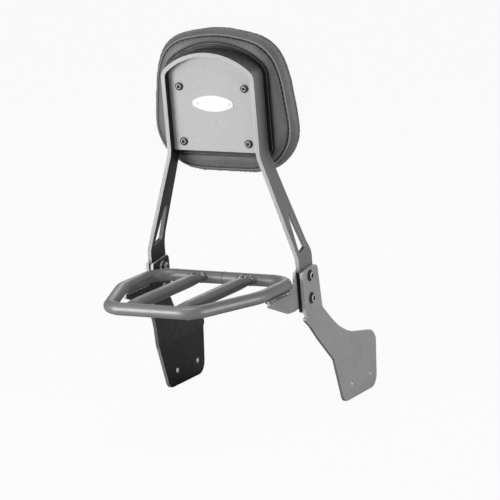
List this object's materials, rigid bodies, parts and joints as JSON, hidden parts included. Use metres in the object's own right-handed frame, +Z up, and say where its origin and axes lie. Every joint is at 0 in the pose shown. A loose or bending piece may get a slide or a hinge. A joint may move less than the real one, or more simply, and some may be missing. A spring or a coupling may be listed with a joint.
{
  "type": "motorcycle backrest",
  "caption": "Bent strip upright with splayed slotted legs, padded cushion, small tubular luggage rack and bent side plates that bolt beside a motorcycle's rear mudguard.",
  "frame": {"origin": "centre plane, on the common axis of the two rear fixing holes in the side plates' blades", "axes": "+X to the motorcycle's right, +Y forward, +Z up"},
  "size_m": [0.302, 0.4806, 0.5834],
  "materials": {
    "frame_paint": "satin charcoal powder coat",
    "back_plate_paint": "finely textured light grey powder coat",
    "badge_blank": "satin, blank",
    "black_fasteners": "black oxide",
    "plain_zinc": "zinc plated",
    "pad_board": "matte black",
    "cushion_cover": "grained charcoal synthetic leather"
  },
  "bodies": {
    "root": {"upright": "frame_paint", "side_plate_left": "frame_paint", "side_plate_right": "frame_paint", "rack_ring": "frame_paint", "rack_bar_left": "frame_paint", "rack_bar_right": "frame_paint", "rack_bracket_left": "frame_paint", "rack_bracket_right": "frame_paint", "back_plate": "back_plate_paint", "badge_plate": "badge_blank", "badge_rivets": "badge_blank", "pad_screws": "black_fasteners", "pad_spacers": "plain_zinc", "pad_tee_nuts": "plain_zinc", "pad_base": "pad_board", "backrest_cushion": "cushion_cover", "side_bolt_upper_left": "black_fasteners", "flange_nut_upper_left": "plain_zinc", "side_bolt_lower_left": "black_fasteners", "flange_nut_lower_left": "plain_zinc", "side_bolt_upper_right": "black_fasteners", "flange_nut_upper_right": "plain_zinc", "side_bolt_lower_right": "black_fasteners", "flange_nut_lower_right": "plain_zinc"}
  },
  "joints": []
}
